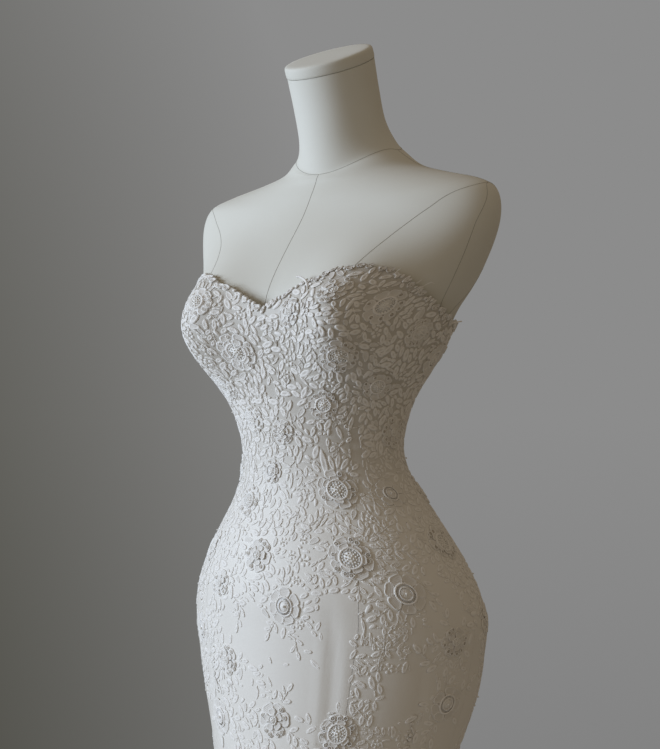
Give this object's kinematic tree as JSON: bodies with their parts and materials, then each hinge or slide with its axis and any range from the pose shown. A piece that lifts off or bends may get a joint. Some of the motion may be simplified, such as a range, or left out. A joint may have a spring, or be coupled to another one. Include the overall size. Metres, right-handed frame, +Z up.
{
  "type": "wedding dress on a dress form",
  "caption": "Strapless sweetheart mermaid wedding dress of corded floral lace over satin, flared from the knee, worn on a limbless dress form with a neck cap, pole and round base.",
  "frame": {"origin": "on the floor, under the middle of the hem and of the stand's base", "axes": "+Z up, the dress faces -Y, and the wearer's left side is +X"},
  "size_m": [0.941, 0.974, 1.5572],
  "materials": {
    "lace_cloth": "ivory corded floral lace over satin",
    "flare_cloth": "ivory net over satin",
    "form_cover": "matte ivory cover",
    "stand_steel": "satin paint",
    "zip_metal": "satin nickel"
  },
  "bodies": {
    "gown_on_form": {"panel_front_centre": "lace_cloth", "panel_side_front_left": "lace_cloth", "panel_side_front_right": "lace_cloth", "panel_side_back_left": "lace_cloth", "panel_side_back_right": "lace_cloth", "panel_back_left": "lace_cloth", "panel_back_right": "lace_cloth", "flare_front_centre": "flare_cloth", "flare_side_front_left": "flare_cloth", "flare_side_front_right": "flare_cloth", "flare_side_back_left": "flare_cloth", "flare_side_back_right": "flare_cloth", "flare_back_left": "flare_cloth", "flare_back_right": "flare_cloth", "form_body": "form_cover", "form_neck_cap": "form_cover", "stand_pole": "stand_steel", "stand_base": "stand_steel", "zip_slider": "zip_metal"},
    "zip_tab": {"zip_pull": "zip_metal"}
  },
  "joints": [
    {"name": "zip_pull_swing", "type": "hinge", "parent": "gown_on_form", "child": "zip_tab", "pos_m": [0, 0.1088, 1.203], "axis": [1, 0, 0], "range_deg": [0, 150]}
  ]
}
